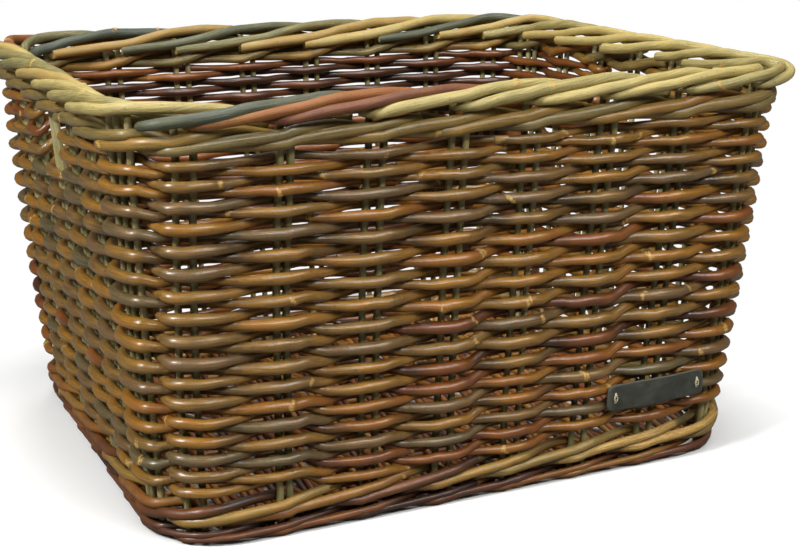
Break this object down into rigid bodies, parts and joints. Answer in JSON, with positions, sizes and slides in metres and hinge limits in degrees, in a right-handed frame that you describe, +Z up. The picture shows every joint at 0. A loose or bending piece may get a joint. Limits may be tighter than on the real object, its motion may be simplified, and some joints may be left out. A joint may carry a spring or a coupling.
{
  "type": "crate basket",
  "caption": "Open rectangular storage basket woven from round cane on twin stakes, with a rolled border, a hand hole in each short side and a small leather tag low on the front.",
  "frame": {"origin": "middle of the crate's outline, on the floor under the woven foot", "axes": "+X along the long side, to the right as seen from the front; +Y from the front wall with the tag to the back; +Z up"},
  "size_m": [0.4988, 0.4092, 0.284],
  "materials": {
    "stake_cane": "satin, unpeeled olive-grey cane",
    "weaver_cane": "satin, brown to ochre cane with pale streaks",
    "wale_cane": "satin, ochre cane",
    "border_cane": "matte, weathered grey-green and cream cane",
    "foot_cane": "satin, dark brown cane",
    "base_cane": "satin, brown cane",
    "tag_leather": "matte, dark grey-green leather",
    "tie_thread": "matte, pale twisted thread"
  },
  "bodies": {
    "root": {"stake_set_01": "stake_cane", "stake_set_02": "stake_cane", "stake_set_03": "stake_cane", "stake_set_04": "stake_cane", "stake_set_05": "stake_cane", "stake_set_06": "stake_cane", "stake_set_07": "stake_cane", "stake_set_08": "stake_cane", "stake_set_09": "stake_cane", "stake_set_10": "stake_cane", "stake_set_11": "stake_cane", "stake_set_12": "stake_cane", "stake_set_13": "stake_cane", "stake_set_14": "stake_cane", "stake_set_15": "stake_cane", "stake_set_16": "stake_cane", "stake_set_17": "stake_cane", "stake_set_18": "stake_cane", "stake_set_19": "stake_cane", "stake_set_20": "stake_cane", "stake_set_21": "stake_cane", "stake_set_22": "stake_cane", "stake_set_23": "stake_cane", "stake_set_24": "stake_cane", "stake_set_25": "stake_cane", "stake_set_26": "stake_cane", "stake_set_27": "stake_cane", "stake_set_28": "stake_cane", "stake_set_29": "stake_cane", "stake_set_30": "stake_cane", "weave_row_01": "weaver_cane", "weave_row_02": "weaver_cane", "weave_row_03": "weaver_cane", "weave_row_04": "weaver_cane", "weave_row_05": "weaver_cane", "weave_row_06": "weaver_cane", "weave_row_07": "weaver_cane", "weave_row_08": "weaver_cane", "weave_row_09": "weaver_cane", "weave_row_10": "weaver_cane", "weave_row_11": "weaver_cane", "weave_row_12": "weaver_cane", "weave_row_13": "weaver_cane", "weave_row_14": "weaver_cane", "weave_row_15_front": "weaver_cane", "weave_row_15_back": "weaver_cane", "weave_row_16_front": "weaver_cane", "weave_row_16_back": "weaver_cane", "weave_row_17_front": "weaver_cane", "weave_row_17_back": "weaver_cane", "foot_weave": "foot_cane", "lower_wale": "wale_cane", "upper_wale": "wale_cane", "rolled_border": "border_cane", "base_weave": "base_cane", "base_edge_stick_front": "base_cane", "base_edge_stick_back": "base_cane", "tag": "tag_leather", "tag_tie_1": "tie_thread", "tag_tie_2": "tie_thread"}
  },
  "joints": []
}
